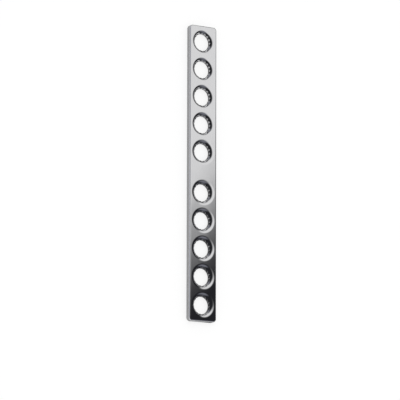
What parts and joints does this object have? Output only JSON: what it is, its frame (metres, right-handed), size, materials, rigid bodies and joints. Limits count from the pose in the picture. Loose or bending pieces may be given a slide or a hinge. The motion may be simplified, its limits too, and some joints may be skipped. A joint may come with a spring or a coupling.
{
  "type": "bone plate",
  "caption": "Straight bone plate with round countersunk screw holes in rows either side of a plain middle span, screwed to bone to bridge a fracture.",
  "frame": {"origin": "under the middle of the plate, on the face that meets the bone", "axes": "+X across the plate, +Y along its length, +Z out of the front face, the side the screws are driven from"},
  "size_m": [0.009, 0.0874, 0.002],
  "materials": {
    "polished_steel": "polished"
  },
  "bodies": {
    "root": {"bone_plate": "polished_steel"}
  },
  "joints": []
}
